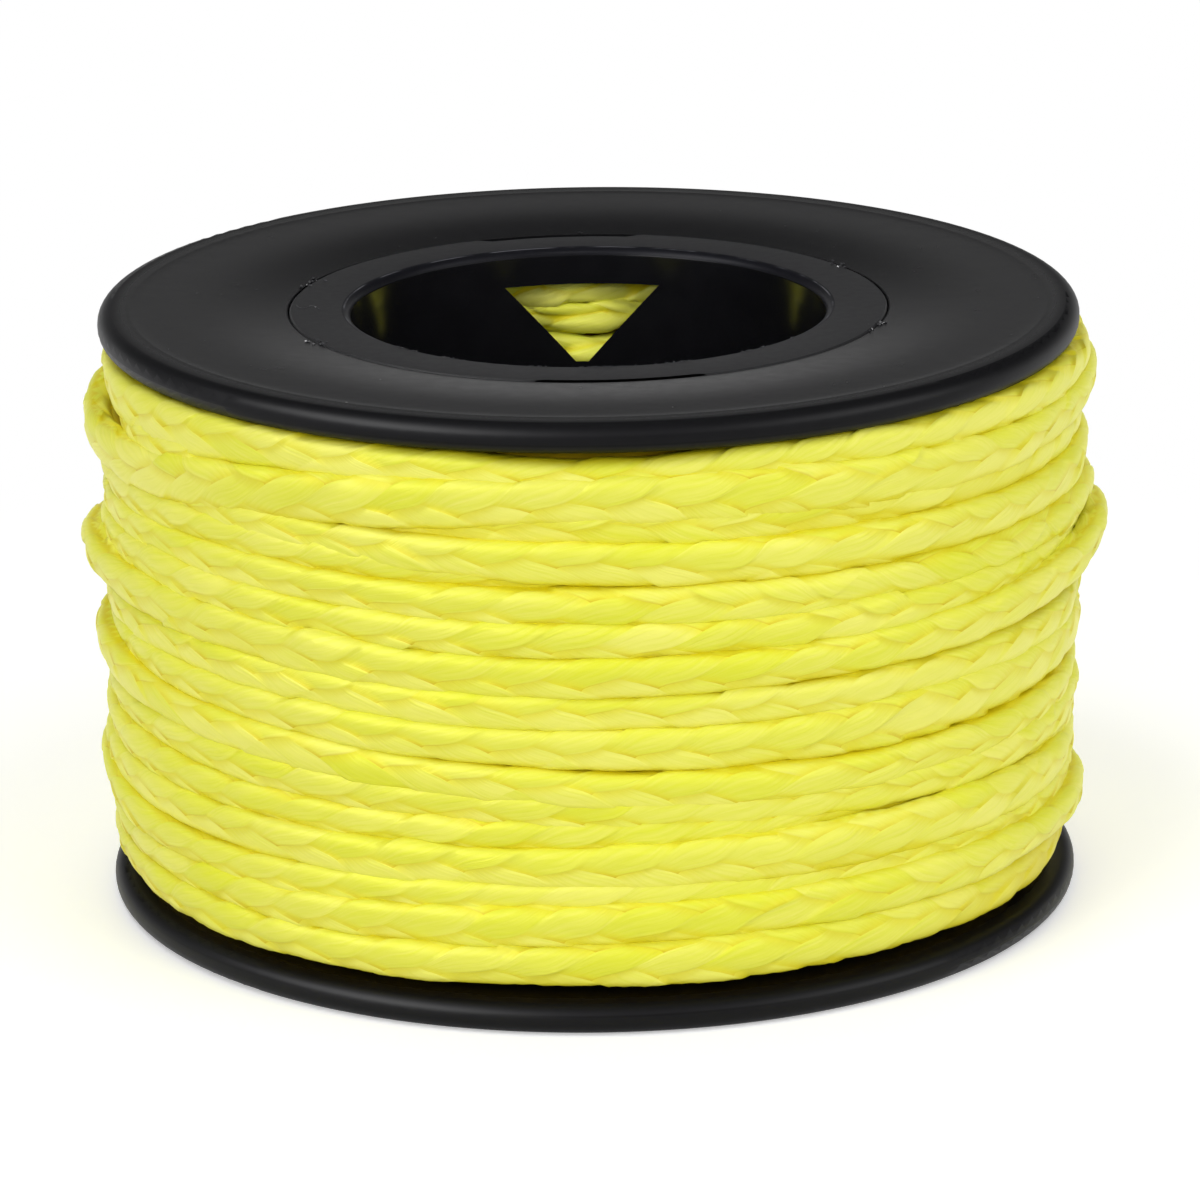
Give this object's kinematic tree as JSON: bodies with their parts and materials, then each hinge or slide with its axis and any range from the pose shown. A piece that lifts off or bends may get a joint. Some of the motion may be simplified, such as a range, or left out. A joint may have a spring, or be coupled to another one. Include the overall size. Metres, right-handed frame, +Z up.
{
  "type": "string reel",
  "caption": "Two-flange plastic spool with a hollow hub for a spindle, wound with bright braided cord that pays off the outside.",
  "frame": {"origin": "centre of the bore on the plane that the lower rim stands on", "axes": "+Z up along the bore axis, -Y towards the side seen from the front"},
  "size_m": [0.066, 0.0679, 0.0407],
  "materials": {
    "flange_plastic": "smooth satin black moulded plastic",
    "ring_plastic": "fine matt black moulded plastic",
    "hub_plastic": "glossy black moulded plastic",
    "cord_braid": "fluorescent yellow hollow braid of flat waxy yarns, satin"
  },
  "bodies": {
    "root": {"hub_tube": "hub_plastic", "bottom_flange": "flange_plastic", "top_flange": "flange_plastic", "bottom_end_ring": "ring_plastic", "top_end_ring": "ring_plastic", "cord_winding": "cord_braid", "cord_free_end": "cord_braid"}
  },
  "joints": []
}
